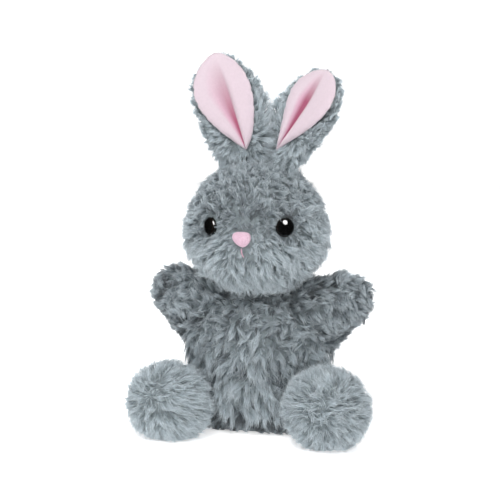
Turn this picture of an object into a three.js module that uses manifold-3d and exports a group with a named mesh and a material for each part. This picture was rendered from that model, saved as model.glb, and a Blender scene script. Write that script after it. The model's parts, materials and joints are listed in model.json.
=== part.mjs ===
// A seated rabbit glove puppet in long-pile plush, about 250 mm tall to the tip of the taller ear.
// Millimetres, +Z up, the rabbit faces -Y and its left side (as seen from the front) is at -X.
//
// The torso is an open-bottomed glove of two fur panels over a lining. The sleeves and the neck open
// into it, so a hand goes in through the hem, the index finger into the head's pocket, and the thumb
// and middle finger into the arms. The head, feet, tail and paws are stuffed. Each soft limb is a
// ball-ended piece that turns in an oversize hole, which stands for the fabric that bends there.

import * as THREE from 'three';
import { mergeVertices } from 'three/addons/utils/BufferGeometryUtils.js';
import Module from 'manifold-3d';

const wasm = await Module();
wasm.setup();

// ---- driving dimensions ------------------------------------------------------------------------

const SIDES = { left: -1, right: 1 };
const FUR = 4; // fur fabric: knitted backing plus the part of its pile that a hand presses flat
const LINING = 1.2; // lining cloth
const GAP = 0.4; // between pieces that touch
const HALF_GAP = GAP / 2;
const FAR = 200; // larger than the puppet, for cutting boxes
const RING_STEPS = 22; // sides of a large round piece
const MIDDLE_STEPS = 18; // sides of the muzzle and the feet
const SMALL_STEPS = 14; // sides of a small round piece
const THREAD_STEPS = { round: 5, along: 20 };
const AXIS_Y = 6.9; // the torso's axis lies this far behind the middle of the footprint

const TORSO_HEIGHT = 90;
// Half-width against height, from the hem to the neck.
const TORSO_OUTLINE = [
  [37.5, 0], [39, 16], [39, 36], [40.5, 50],
  [39.5, 61], [34, 71], [27, 81], [20.5, TORSO_HEIGHT],
];
const TORSO_ROWS = 6;
const TORSO_FLATNESS = 0.7; // depth over width below the shoulders
const SHOULDER_LEVEL = 62; // above this the section rounds out to the neck
const HEM_FACING = { bottom: 0.5, top: 9, thickness: 2 };
const LINING_CLEARANCE = 2 * GAP; // between the torso's fur and its lining
const LINING_RANGE = { bottom: 10, top: 84 };

const TAIL_RADIUS = 12;
const TAIL_CENTRE = new THREE.Vector3(0, 34, 25);

const NECK_PIVOT = new THREE.Vector3(0, 0, 101);
const NECK_CAVITY = 24; // radius of the hollow under the head that the neck turns in
const NECK_SLEEVE = { radius: 15.5, wall: 1.5, bottom: 92, top: 109 };
const NECK_THREAD = { ringRadius: 15.4, threadRadius: 0.7, height: 88.4 };

const SKULL = { centre: new THREE.Vector3(0, -5, 139), radii: new THREE.Vector3(43.5, 39, 41.5) };
const MUZZLE = { centre: new THREE.Vector3(0, -30, 127.5), radii: new THREE.Vector3(26, 19, 18) };
const GUSSET_HALF_WIDTH = 13;
const GUSSET_FRONT_LEVEL = 139.5; // the forehead gusset ends here, just above the nose
const GUSSET_BACK_PLANE = 12; // behind this it runs down to the neck
const POCKET = { radius: 12.5, bottom: 114, top: 154, shoulderHeight: 5, crownInset: 4 };

const EYE_POSITION = { across: 25, level: 140 };
const EYE = { radius: 6.2, height: 4.4, stem: 2.2, stemLength: 11.5, stemHole: 2.6 };
const WASHER = { radius: 6.6, depth: 5.4, thickness: 1.6, room: 0.6 };

const NOSE = { level: 133.6, halfWidth: 5.9, halfHeight: 4.7, depth: 8, bevel: 1.4, proud: 2.4, tilt: 0.25 };
const MOUTH = { top: 128.2, bottom: 120.5, threadRadius: 0.6 };

// Each ear leans outwards and back from its base, and is turned about its own length.
const EARS = {
  left: { across: -9.5, height: 185.5, lean: 0.26, back: 0.12, twist: 0.1, length: 73, halfWidth: 22 },
  right: { across: 18, height: 184.2, lean: 0.44, back: 0.12, twist: 0.45, length: 69, halfWidth: 21.5 },
};
const EAR_PIVOT_Y = -6;
const EAR_ROOT = 5.5; // how far the ear's base reaches below its pivot
const EAR_BACK_DEPTH = 3.6;
const EAR_INNER = { widthShare: 0.84, lengthShare: 0.93, rise: 2, depth: 1.7, forward: 2.4 };
const EAR_CUP = 0.011; // forward curl of the edges, per millimetre of width squared
const LEAF_ROWS = 10;
const LEAF_WIDEST = 1.1; // above 1, the ear is widest past the middle of its length
const LEAF_ROUNDNESS = 0.62;

const SHOULDER = new THREE.Vector3(31, 2, 76);
const ARM_DIRECTION = new THREE.Vector3(28, 6, 13).normalize();
const ARMHOLE = 20.2;
const ARM_FLATNESS = 0.82;
// Radius against distance from the shoulder, root first; the root's edge lies on a ball of ARM_BALL.
const ARM_BALL = 17;
const ARM_OUTLINE = [
  [12.6, -11.4], [15.4, -7], [ARM_BALL, 0], [16.2, 9], [16.4, 18],
  [17.2, 27], [16, 36], [10.5, 43.5], [0, 46.5],
];
const ARM_SEAM = { back: 12.6, ringRadius: 13.2, threadRadius: 0.7 };
const ARM_SHELL_START = -12; // the fur sleeve begins here, and its lining a little further out
const ARM_LINING_START = -8;
const POCKET_END = 33; // the arm's finger pocket ends here and the paw's stuffing begins

const HIP = new THREE.Vector3(31, -21, 25);
const HIP_HOLE = 10.4;
const LEG_RADIUS = 9;
const FOOT = { centre: new THREE.Vector3(51.5, -37, 25.2), radii: new THREE.Vector3(25, 23.5, 26) };
const SOLE_PLANE = -42; // the sole is the part of the foot in front of this

// ---- materials ---------------------------------------------------------------------------------

const plush = new THREE.MeshStandardMaterial({ color: 0x8a9599, roughness: 0.95, metalness: 0 });
const pinkVelour = new THREE.MeshStandardMaterial({ color: 0xf0c8d8, roughness: 0.85, metalness: 0 });
const noseFelt = new THREE.MeshStandardMaterial({ color: 0xecb4c8, roughness: 0.8, metalness: 0 });
const liningCloth = new THREE.MeshStandardMaterial({ color: 0xb9bfc2, roughness: 0.7, metalness: 0 });
const fibrefill = new THREE.MeshStandardMaterial({ color: 0xf2f2ee, roughness: 1, metalness: 0 });
const thread = new THREE.MeshStandardMaterial({ color: 0x7d878b, roughness: 0.6, metalness: 0 });
const pinkThread = new THREE.MeshStandardMaterial({ color: 0xe9a9c0, roughness: 0.5, metalness: 0 });
const eyePlastic = new THREE.MeshStandardMaterial({ color: 0x120c08, roughness: 0.08, metalness: 0 });
const washerPlastic = new THREE.MeshStandardMaterial({ color: 0xe8e8e4, roughness: 0.45, metalness: 0 });

// ---- solids ------------------------------------------------------------------------------------

// A closed geometry as a solid, with its faces turned outwards.
function solidOf(geometry) {
  const bare = geometry.index ? geometry.toNonIndexed() : geometry.clone();
  bare.deleteAttribute('normal');
  bare.deleteAttribute('uv');
  const merged = mergeVertices(bare, 1e-3);
  const triVerts = new Uint32Array(merged.index.array);
  const vertProperties = merged.attributes.position.array;
  const made = new wasm.Manifold(new wasm.Mesh({ numProp: 3, vertProperties, triVerts }));
  if (made.volume() > 0) return made;
  const turned = triVerts.slice();
  for (let i = 0; i < turned.length; i += 3) {
    turned[i + 1] = triVerts[i + 2];
    turned[i + 2] = triVerts[i + 1];
  }
  return new wasm.Manifold(new wasm.Mesh({ numProp: 3, vertProperties, triVerts: turned }));
}

function named(name, solid, material) {
  const mesh = solid.getMesh();
  const geometry = new THREE.BufferGeometry();
  geometry.setAttribute('position', new THREE.BufferAttribute(mesh.vertProperties, 3));
  geometry.setIndex(new THREE.BufferAttribute(mesh.triVerts, 1));
  geometry.computeVertexNormals();
  const made = new THREE.Mesh(geometry, material);
  made.name = name;
  return made;
}

function ball(centre, radii, grow = 0, steps = RING_STEPS) {
  const geometry = new THREE.SphereGeometry(1, steps, Math.round(steps / 2));
  geometry.rotateX(Math.PI / 2);
  geometry.scale(radii.x + grow, radii.y + grow, radii.z + grow);
  geometry.translate(centre.x, centre.y, centre.z);
  return solidOf(geometry);
}

function sphere(centre, radius, steps = SMALL_STEPS) {
  return ball(centre, new THREE.Vector3(radius, radius, radius), 0, steps);
}

function box(low, high) {
  const size = high.map((value, i) => value - low[i]);
  const geometry = new THREE.BoxGeometry(...size);
  geometry.translate(...low.map((value, i) => value + size[i] / 2));
  return solidOf(geometry);
}

// A round piece about +Z from a profile of [radius, height] points.
function turnedGeometry(profile, steps = SMALL_STEPS) {
  const geometry = new THREE.LatheGeometry(profile.map(([r, z]) => new THREE.Vector2(r, z)), steps);
  geometry.rotateX(Math.PI / 2);
  return geometry;
}

function turned(profile, steps) {
  return solidOf(turnedGeometry(profile, steps));
}

// The same, with its foot at a point and its height along a direction.
function turnedAlong(profile, foot, direction, steps) {
  const geometry = turnedGeometry(profile, steps);
  const up = new THREE.Vector3(0, 0, 1);
  geometry.applyQuaternion(new THREE.Quaternion().setFromUnitVectors(up, direction));
  geometry.translate(foot.x, foot.y, foot.z);
  return solidOf(geometry);
}

function rod(foot, direction, from, to, radius) {
  return turnedAlong([[0, from], [radius, from], [radius, to], [0, to]], foot, direction);
}

// A ring of thread in the plane square to a direction.
function threadRing(centre, direction, ringRadius, threadRadius) {
  const geometry = new THREE.TorusGeometry(ringRadius, threadRadius, THREAD_STEPS.round, THREAD_STEPS.along);
  const facing = new THREE.Vector3(0, 0, 1);
  geometry.applyQuaternion(new THREE.Quaternion().setFromUnitVectors(facing, direction));
  geometry.translate(centre.x, centre.y, centre.z);
  return solidOf(geometry);
}

// Mirrors a point or direction that is given for the +X side.
function onSide(vector, side) {
  return new THREE.Vector3(vector.x * side, vector.y, vector.z);
}

// ---- torso -------------------------------------------------------------------------------------

const torsoCurve = new THREE.SplineCurve(TORSO_OUTLINE.map(([r, z]) => new THREE.Vector2(r, z)));
const torsoSamples = torsoCurve.getPoints(120);
const torsoLevels = Array.from({ length: TORSO_ROWS + 1 }, (_, i) => (TORSO_HEIGHT * i) / TORSO_ROWS);

function outlineRadius(height) {
  const distance = (p) => Math.abs(p.y - height);
  return torsoSamples.reduce((best, p) => (distance(p) < distance(best) ? p : best)).x;
}

function outlineFlatness(height) {
  const share = THREE.MathUtils.smoothstep(height, SHOULDER_LEVEL, TORSO_HEIGHT - 4);
  return THREE.MathUtils.lerp(TORSO_FLATNESS, 1, share);
}

// Every layer of the torso bends at the same levels and is straight between them, so the layers stay
// clear of each other wherever they begin and end.
function betweenLevels(valueAt, height) {
  const above = Math.max(1, torsoLevels.findIndex((level) => level >= height - 1e-6));
  const below = torsoLevels[above - 1];
  const share = (height - below) / (torsoLevels[above] - below);
  return THREE.MathUtils.lerp(valueAt(below), valueAt(torsoLevels[above]), share);
}

// Squashes a round geometry front to back, as far as the torso is squashed at each height.
function flattenLikeTorso(geometry) {
  const position = geometry.attributes.position;
  for (let i = 0; i < position.count; i++) {
    position.setY(i, position.getY(i) * betweenLevels(outlineFlatness, position.getZ(i)));
  }
  return geometry;
}

function torsoSide(grow, from, to) {
  const within = torsoLevels.filter((height) => height > from + 1 && height < to - 1);
  return [from, ...within, to].map((height) => [betweenLevels(outlineRadius, height) + grow, height]);
}

// A wall that follows the torso, between two distances from its outer surface.
function torsoWall(outer, inner, from, to) {
  const rising = torsoSide(-outer, from, to);
  const falling = torsoSide(-inner, from, to).reverse();
  return solidOf(flattenLikeTorso(turnedGeometry([...rising, ...falling, rising[0]], RING_STEPS)));
}

function torsoBulk(grow) {
  const side = torsoSide(grow, 0, TORSO_HEIGHT);
  return solidOf(flattenLikeTorso(turnedGeometry([[0, 0], ...side, [0, TORSO_HEIGHT]], RING_STEPS)));
}

function cutHoles(wall, hipHoles) {
  let cut = wall;
  for (const side of Object.values(SIDES)) {
    cut = cut.subtract(sphere(onSide(SHOULDER, side), ARMHOLE));
    if (hipHoles) cut = cut.subtract(sphere(onSide(HIP, side), HIP_HOLE));
  }
  return cut;
}

function makeTorso() {
  const shell = cutHoles(torsoWall(0, FUR, 0, TORSO_HEIGHT), true);
  const front = box([-FAR, -FAR, -FAR], [FAR, -HALF_GAP, FAR]);
  const back = box([-FAR, HALF_GAP, -FAR], [FAR, FAR, FAR]);
  const face = FUR + LINING_CLEARANCE;
  const lining = torsoWall(face, face + LINING, LINING_RANGE.bottom, LINING_RANGE.top);
  const facing = torsoWall(face, face + HEM_FACING.thickness, HEM_FACING.bottom, HEM_FACING.top);
  return [
    named('torso_front_panel', shell.intersect(front), plush),
    named('torso_back_panel', shell.intersect(back), plush),
    named('torso_lining', cutHoles(lining, true), liningCloth),
    named('hem_facing', facing, liningCloth),
  ];
}

function makeTail() {
  const cover = sphere(TAIL_CENTRE, TAIL_RADIUS);
  const filling = sphere(TAIL_CENTRE, TAIL_RADIUS - FUR + HALF_GAP);
  const stuffing = sphere(TAIL_CENTRE, TAIL_RADIUS - FUR - GAP);
  return [
    named('tail_cover', cover.subtract(filling).subtract(torsoBulk(GAP)), plush),
    named('tail_stuffing', stuffing.subtract(torsoBulk(2 * GAP)), fibrefill),
  ];
}

// ---- neck --------------------------------------------------------------------------------------

function makeNeck() {
  const { radius, wall, bottom, top } = NECK_SLEEVE;
  const inside = radius - wall;
  const profile = [[radius, bottom], [radius, top], [inside, top], [inside, bottom], [radius, bottom]];
  const sleeve = turned(profile, RING_STEPS);
  const ringCentre = new THREE.Vector3(0, 0, NECK_THREAD.height);
  const upwards = new THREE.Vector3(0, 0, 1);
  const ring = threadRing(ringCentre, upwards, NECK_THREAD.ringRadius, NECK_THREAD.threadRadius);
  return [named('neck_sleeve', sleeve, liningCloth), named('neck_gathering_thread', ring, thread)];
}

// ---- head --------------------------------------------------------------------------------------

function headBulk(grow) {
  const skull = ball(SKULL.centre, SKULL.radii, grow);
  return skull.add(ball(MUZZLE.centre, MUZZLE.radii, grow, MIDDLE_STEPS));
}

// Where an eye sits on the skull, and the way it faces.
function eyeSeat(side) {
  const { centre, radii } = SKULL;
  const x = EYE_POSITION.across / radii.x;
  const z = (EYE_POSITION.level - centre.z) / radii.z;
  const y = -Math.sqrt(1 - x * x - z * z);
  const point = new THREE.Vector3(x * radii.x, y * radii.y, z * radii.z).add(centre);
  const facing = new THREE.Vector3(x / radii.x, y / radii.y, z / radii.z).normalize();
  return { point: onSide(point, side), facing: onSide(facing, side) };
}

function makeEye(name, side) {
  const { point, facing } = eyeSeat(side);
  const { radius, height, stem, stemLength } = EYE;
  const rows = 6;
  const dome = Array.from({ length: rows + 1 }, (_, i) => {
    const angle = (i / rows) * (Math.PI / 2);
    return [radius * Math.cos(angle), GAP + height * Math.sin(angle)];
  });
  dome[rows][0] = 0;
  const eye = [[0, -stemLength], [stem, -stemLength], [stem, GAP], ...dome];
  const face = -WASHER.depth;
  const rear = face - WASHER.thickness;
  const hole = EYE.stemHole;
  const washer = [[hole, rear], [WASHER.radius, rear], [WASHER.radius, face], [hole, face], [hole, rear]];
  return [
    named(`eye_${name}`, turnedAlong(eye, point, facing), eyePlastic),
    named(`eye_${name}_washer`, turnedAlong(washer, point, facing), washerPlastic),
  ];
}

function eyeHole(side) {
  const { point, facing } = eyeSeat(side);
  return rod(point, facing, -EYE.stemLength - GAP, 2, EYE.stemHole);
}

function washerRoom(side) {
  const { point, facing } = eyeSeat(side);
  const deepest = -WASHER.depth - WASHER.thickness - WASHER.room;
  return rod(point, facing, deepest, 0, WASHER.radius + WASHER.room);
}

// The forehead gusset: a strip from above the nose, over the crown and down to the neck.
function gussetRegion(grow) {
  const half = GUSSET_HALF_WIDTH + grow;
  const over = box([-half, -FAR, GUSSET_FRONT_LEVEL - grow], [half, FAR, FAR]);
  const behind = box([-half, GUSSET_BACK_PLANE - grow, 0], [half, FAR, FAR]);
  return over.add(behind);
}

function makeHeadPanels() {
  const cavity = sphere(NECK_PIVOT, NECK_CAVITY);
  const eyeHoles = eyeHole(SIDES.left).add(eyeHole(SIDES.right));
  const shell = headBulk(0).subtract(headBulk(-FUR)).subtract(cavity).subtract(eyeHoles);
  const sides = shell.subtract(gussetRegion(GAP));
  return [
    named('head_gusset', shell.intersect(gussetRegion(0)), plush),
    named('head_left_panel', sides.intersect(box([-FAR, -FAR, 0], [-HALF_GAP, FAR, FAR])), plush),
    named('head_right_panel', sides.intersect(box([HALF_GAP, -FAR, 0], [FAR, FAR, FAR])), plush),
  ];
}

function makeHeadInside() {
  const upwards = new THREE.Vector3(0, 0, 1);
  const foot = new THREE.Vector3(NECK_PIVOT.x, NECK_PIVOT.y, 0);
  let stuffing = headBulk(-FUR - GAP).subtract(sphere(NECK_PIVOT, NECK_CAVITY + GAP));
  stuffing = stuffing.subtract(rod(foot, upwards, NECK_PIVOT.z, POCKET.top + GAP, POCKET.radius + GAP));
  for (const side of Object.values(SIDES)) {
    stuffing = stuffing.subtract(washerRoom(side)).subtract(eyeHole(side));
  }
  const { radius, bottom, top, shoulderHeight, crownInset } = POCKET;
  const inside = radius - LINING;
  const crown = top - LINING;
  const cap = (side, height) => [[side, height - shoulderHeight], [side - crownInset, height]];
  const outerSide = [[radius, bottom], ...cap(radius, top), [0, top]];
  const innerSide = [[0, crown], ...cap(inside, crown).reverse(), [inside, bottom]];
  const profile = [...outerSide, ...innerSide, outerSide[0]];
  const pocket = turnedAlong(profile, foot, upwards, RING_STEPS);
  return [named('head_stuffing', stuffing, fibrefill), named('head_finger_pocket', pocket, liningCloth)];
}

function makeNose() {
  const { level, halfWidth: w, halfHeight: h, depth, bevel, proud, tilt } = NOSE;
  const shape = new THREE.Shape();
  shape.moveTo(0, -h);
  shape.bezierCurveTo(w * 0.4, -h, w, -h * 0.1, w, h * 0.45);
  shape.bezierCurveTo(w, h, w * 0.5, h, 0, h);
  shape.bezierCurveTo(-w * 0.5, h, -w, h, -w, h * 0.45);
  shape.bezierCurveTo(-w, -h * 0.1, -w * 0.4, -h, 0, -h);
  const geometry = new THREE.ExtrudeGeometry(shape, {
    depth, curveSegments: 6, bevelThickness: bevel, bevelSize: bevel, bevelOffset: -bevel, bevelSegments: 3,
  });
  geometry.rotateX(Math.PI / 2);
  geometry.rotateX(-tilt);
  const frontMost = MUZZLE.centre.y - MUZZLE.radii.y;
  geometry.translate(0, frontMost + depth + bevel - proud, level);
  return named('nose', solidOf(geometry).subtract(headBulk(GAP)), noseFelt);
}

function makeMouth() {
  const { top, bottom, threadRadius } = MOUTH;
  const lengths = 5;
  const points = Array.from({ length: lengths + 1 }, (_, i) => {
    const height = top + ((bottom - top) * i) / lengths;
    const rise = (height - MUZZLE.centre.z) / MUZZLE.radii.z;
    const surface = MUZZLE.centre.y - MUZZLE.radii.y * Math.sqrt(1 - rise * rise);
    return new THREE.Vector3(0, surface - GAP - threadRadius, height);
  });
  const section = new THREE.Shape();
  section.absarc(0, 0, threadRadius, 0, 2 * Math.PI);
  const geometry = new THREE.ExtrudeGeometry(section, {
    steps: 2 * lengths, curveSegments: 4, extrudePath: new THREE.CatmullRomCurve3(points),
  });
  return named('mouth_stitch', solidOf(geometry), pinkThread);
}

// ---- ears --------------------------------------------------------------------------------------

// A leaf-shaped pad standing on its base, flat in Y and widest past the middle, its edges curled
// forward.
function leaf(length, halfWidth, halfDepth, forward, base) {
  const geometry = new THREE.SphereGeometry(1, SMALL_STEPS, LEAF_ROWS);
  geometry.rotateX(Math.PI / 2);
  const position = geometry.attributes.position;
  for (let i = 0; i < position.count; i++) {
    const ring = Math.hypot(position.getX(i), position.getY(i));
    const t = (position.getZ(i) + 1) / 2;
    const atTip = ring < 1e-6;
    const spread = atTip ? 0 : Math.pow(Math.sin(Math.PI * Math.pow(t, LEAF_WIDEST)), LEAF_ROUNDNESS) / ring;
    const x = position.getX(i) * spread * halfWidth;
    const thickness = position.getY(i) * (atTip ? 0 : 1 / Math.sqrt(ring)) * halfDepth;
    position.setXYZ(i, x, thickness - forward - EAR_CUP * x * x, base + t * length);
  }
  return solidOf(geometry);
}

function makeEar(name, side) {
  const { across, height, lean, back, twist, length, halfWidth } = EARS[name];
  const { widthShare, lengthShare, rise, depth, forward } = EAR_INNER;
  const innerLength = length * lengthShare;
  const innerWidth = halfWidth * widthShare;
  const foot = rise - EAR_ROOT;
  const inner = leaf(innerLength, innerWidth, depth, forward, foot);
  const bed = leaf(innerLength + 2 * GAP, innerWidth + GAP, depth + GAP, forward, foot - GAP);
  const outer = leaf(length, halfWidth, EAR_BACK_DEPTH, 0, -EAR_ROOT).subtract(bed);
  const ear = new THREE.Group();
  ear.add(named(`ear_${name}_back`, outer, plush), named(`ear_${name}_inner`, inner, pinkVelour));
  ear.position.set(across, EAR_PIVOT_Y, height);
  ear.rotation.set(-back, lean * side, -twist * side, 'YXZ');
  return ear;
}

// ---- arms --------------------------------------------------------------------------------------

// Places a geometry made about +Z on the arm's axis, flattened front to back.
function alongArm(geometry, side) {
  geometry.scale(1, ARM_FLATNESS, 1);
  const direction = onSide(ARM_DIRECTION, side);
  const across = new THREE.Vector3().crossVectors(new THREE.Vector3(0, 1, 0), direction).normalize();
  const depth = new THREE.Vector3().crossVectors(direction, across);
  geometry.applyMatrix4(new THREE.Matrix4().makeBasis(across, depth, direction));
  const shoulder = onSide(SHOULDER, side);
  geometry.translate(shoulder.x, shoulder.y, shoulder.z);
  return solidOf(geometry);
}

// The arm's outline drawn in by a distance, cut off at an end distance and closed there.
function armSide(inset, from, end) {
  const side = ARM_OUTLINE
    .filter(([r, s]) => r > inset + 1 && s >= from && s < end - 1)
    .map(([r, s]) => [r - inset, s]);
  return [...side, [0.55 * (side.at(-1)[0]), end - 0.4 * inset - 1], [0, end - inset]];
}

function armCup(outer, inner, from, end) {
  const rising = armSide(outer, from, end);
  const falling = armSide(inner, from, end).reverse();
  return turnedGeometry([...rising, ...falling, rising[0]]);
}

function makeArm(name, side) {
  const tip = ARM_OUTLINE.at(-1)[1];
  const liningFace = FUR + GAP;
  const liningEnd = POCKET_END + liningFace;
  const fillingSide = [[0, POCKET_END + 1], ...armSide(liningFace, POCKET_END, tip)];
  const shell = alongArm(armCup(0, FUR, ARM_SHELL_START, tip), side);
  const lining = alongArm(armCup(liningFace, liningFace + LINING, ARM_LINING_START, liningEnd), side);
  const filling = alongArm(turnedGeometry(fillingSide), side);
  const direction = onSide(ARM_DIRECTION, side);
  const square = new THREE.Vector3(-direction.y * side, direction.x * side, 0).normalize();
  const front = halfSpace(onSide(SHOULDER, side), square, -HALF_GAP, -1);
  const back = halfSpace(onSide(SHOULDER, side), square, HALF_GAP, 1);
  return [
    named(`arm_${name}_front_panel`, shell.intersect(front), plush),
    named(`arm_${name}_back_panel`, shell.intersect(back), plush),
    named(`arm_${name}_lining`, lining, liningCloth),
    named(`paw_${name}_stuffing`, filling, fibrefill),
  ];
}

// All the space on one side of a plane that is square to a direction.
function halfSpace(point, normal, offset, way) {
  const geometry = new THREE.BoxGeometry(2 * FAR, 2 * FAR, FAR);
  geometry.translate(0, 0, way * (FAR / 2) + offset);
  const up = new THREE.Vector3(0, 0, 1);
  geometry.applyQuaternion(new THREE.Quaternion().setFromUnitVectors(up, normal));
  geometry.translate(point.x, point.y, point.z);
  return solidOf(geometry);
}

function makeArmSeam(name, side) {
  const direction = onSide(ARM_DIRECTION, side);
  const centre = onSide(SHOULDER, side).addScaledVector(direction, -ARM_SEAM.back);
  const ring = threadRing(centre, direction, ARM_SEAM.ringRadius, ARM_SEAM.threadRadius);
  return named(`armhole_${name}_seam`, ring, thread);
}

// ---- feet --------------------------------------------------------------------------------------

function footBulk(side, grow, floor) {
  const foot = ball(onSide(FOOT.centre, side), FOOT.radii, grow, MIDDLE_STEPS);
  return foot.intersect(box([-FAR, -FAR, floor], [FAR, FAR, FAR]));
}

function makeFoot(name, side) {
  const shell = footBulk(side, 0, 0).subtract(footBulk(side, -FUR, FUR));
  const stuffing = footBulk(side, -FUR - GAP, FUR + GAP);
  const sole = box([-FAR, -FAR, -FAR], [FAR, SOLE_PLANE - HALF_GAP, FAR]);
  const upper = box([-FAR, SOLE_PLANE + HALF_GAP, -FAR], [FAR, FAR, FAR]);
  const hip = onSide(HIP, side);
  const towardsFoot = onSide(FOOT.centre, side).sub(hip);
  const leg = sphere(hip, LEG_RADIUS)
    .add(rod(hip, towardsFoot.clone().normalize(), 0, towardsFoot.length(), LEG_RADIUS))
    .subtract(footBulk(side, -FUR, FUR));
  return [
    named(`foot_${name}_upper`, shell.add(leg).intersect(upper), plush),
    named(`foot_${name}_sole`, shell.intersect(sole), plush),
    named(`foot_${name}_stuffing`, stuffing, fibrefill),
  ];
}

// ---- assembly ----------------------------------------------------------------------------------

const puppet = new THREE.Group();
puppet.add(...makeTorso(), ...makeTail(), ...makeNeck());
puppet.add(...makeHeadPanels(), ...makeHeadInside(), makeNose(), makeMouth());
for (const [name, side] of Object.entries(SIDES)) {
  puppet.add(...makeEye(name, side), makeEar(name, side));
  puppet.add(...makeArm(name, side), makeArmSeam(name, side), ...makeFoot(name, side));
}
puppet.position.y = AXIS_Y;

export default puppet;
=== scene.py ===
"""A seated plush rabbit glove puppet: long-pile fur, velour ears, safety eyes, and a lined hand opening.

Metres, +Z up. The rabbit faces -Y, and left and right in the names are as seen from the front. The fur is
tapered hairs planted on smooth skins, and each piece rides on the CAD body that it belongs to.
"""

import json
import math
from dataclasses import dataclass

import bpy
import numpy as np
from mathutils import Matrix, Vector


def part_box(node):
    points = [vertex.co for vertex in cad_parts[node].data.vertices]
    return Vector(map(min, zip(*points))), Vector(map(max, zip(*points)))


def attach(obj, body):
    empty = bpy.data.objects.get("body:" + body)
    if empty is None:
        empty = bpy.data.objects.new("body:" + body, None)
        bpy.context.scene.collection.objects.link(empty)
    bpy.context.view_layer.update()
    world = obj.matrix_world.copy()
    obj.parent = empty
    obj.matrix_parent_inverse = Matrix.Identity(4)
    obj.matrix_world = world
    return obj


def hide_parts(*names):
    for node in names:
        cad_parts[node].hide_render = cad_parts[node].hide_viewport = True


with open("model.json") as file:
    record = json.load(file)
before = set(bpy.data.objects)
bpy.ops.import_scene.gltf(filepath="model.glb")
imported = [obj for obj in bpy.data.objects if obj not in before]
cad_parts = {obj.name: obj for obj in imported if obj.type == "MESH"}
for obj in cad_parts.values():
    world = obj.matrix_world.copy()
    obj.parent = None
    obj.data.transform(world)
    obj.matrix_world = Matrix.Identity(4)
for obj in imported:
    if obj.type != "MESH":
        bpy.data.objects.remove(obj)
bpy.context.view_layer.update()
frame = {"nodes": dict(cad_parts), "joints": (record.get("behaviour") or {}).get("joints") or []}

MM = 0.001
UP = np.array([0, 0, 1])
SIDES = {"left": -1, "right": 1}  # each side, and the sign of its x
HAIR_STEPS = 4  # straight lengths in a hair
HAIRS_PER_PIECE = 9000  # at most
HAIR_TAPER = 0.75  # the share of its width that a hair loses on its way to the tip
HAIR_WIDTH = 0.145 * MM  # radius at its root
HAIRS_PER_LOCK = 6
# How locks and hairs differ, as ranges that a measure is multiplied by, and then as spreads.
LOCK_LENGTHS, LOCK_LIFTS = (0.75, 1.2), (0.75, 1.3)
HAIR_LENGTHS, HAIR_GATHERS, HAIR_WIDTHS = (0.68, 1.12), (0.45, 1.0), (0.75, 1.3)
LOCK_TONES, HAIR_TONES = 0.06, 0.08
LOCK_BENDS = (3.5, 6.5)  # radians that a curl turns through
STRAY = 0.05  # how far single hairs leave their lock, as a share of its length
HAIR_U = 0.008  # how far apart the corners of a hair are in its UV map
RIPPLE_WAVES = 7
ROOT_DEPTH = 0.6 * MM  # how far hairs start below the skin
EDDY_SIZE, SWELL_SIZE, DRIFT_SIZE = 9 * MM, 14 * MM, 30 * MM  # sizes of the swirls in the pile
FLOOR_CLEARANCE = 0.4 * MM  # no hair goes lower than this
UNDER_LENGTH = 5 * MM  # length of the short dense pile below a coat
UNDER_DARKER = 0.12
PILE_INSET = 2.5 * MM  # how far the stuffed skins lie inside the CAD surface

scene = bpy.context.scene


# ---- numbers read from the frame ----


def extent(*nodes):
    """Lowest and highest corner of several CAD nodes together."""
    boxes = [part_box(node) for node in nodes]
    return np.min([low for low, _ in boxes], axis=0), np.max([high for _, high in boxes], axis=0)


def middle(*nodes):
    low, high = extent(*nodes)
    return (low + high) / 2


def pivot(joint):
    return np.array(next(j["pos_m"] for j in frame["joints"] if j["name"] == joint))


# ---- vectors and surfaces ----


def unit(v):
    return v / np.maximum(np.linalg.norm(v, axis=-1, keepdims=True), 1e-9)


def dots(a, b):
    return np.sum(a * b, axis=-1, keepdims=True)


def smooth(x, low, high):
    """A soft step from 0 at low to 1 at high."""
    t = np.clip((x - low) / (high - low), 0, 1)
    return t * t * (3 - 2 * t)


def bell(x, width):
    return np.exp(-((x / width) ** 2))


def distance(points, centre):
    return np.linalg.norm(points - centre, axis=1)


class Ripple:
    """A smooth random vector field, about one unit long, with features of a given size."""

    def __init__(self, seed, size):
        rng = np.random.default_rng(seed)
        ways = unit(rng.normal(size=(RIPPLE_WAVES, 3)))
        self.waves = ways * (math.tau / size) * rng.uniform(0.6, 1.5, (RIPPLE_WAVES, 1))
        self.phases = rng.uniform(0, math.tau, RIPPLE_WAVES)
        self.vectors = rng.normal(size=(RIPPLE_WAVES, 3)) * 0.55

    def __call__(self, points):
        return np.sin(points @ self.waves.T + self.phases) @ self.vectors

    def level(self, points):
        return self(points)[:, 0]


def globe(u, v):
    """The ways out from a middle: round with u, and from the top (v = 0) to the bottom."""
    around = math.tau * u
    down = math.pi * v
    return np.stack([np.cos(around) * np.sin(down), np.sin(around) * np.sin(down), np.cos(down)], axis=-1)


def outward(surface):
    """The surface with u reversed, for one whose normals point inwards."""
    return lambda u, v: surface(1 - u, v)


def orient(surface):
    """The surface itself, or with u reversed, whichever has outward normals."""
    u, v = np.array([[0.3], [0.5]])
    normal, _ = surface_normals(surface, u, v)
    centre = surface(np.linspace(0, 1, 24, endpoint=False), np.full(24, 0.5)).mean(axis=0)
    return surface if float(dots(normal, surface(u, v) - centre)[0, 0]) > 0 else outward(surface)


def surface_normals(surface, u, v):
    """Normals, and the area that each unit of (u, v) covers, by small steps."""
    step = 1e-3
    du = surface(np.minimum(u + step, 1), v) - surface(np.maximum(u - step, 0), v)
    dv = surface(u, np.minimum(v + step, 1)) - surface(u, np.maximum(v - step, 0))
    normal = np.cross(du, dv)
    return unit(normal), np.linalg.norm(normal, axis=-1)


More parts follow.
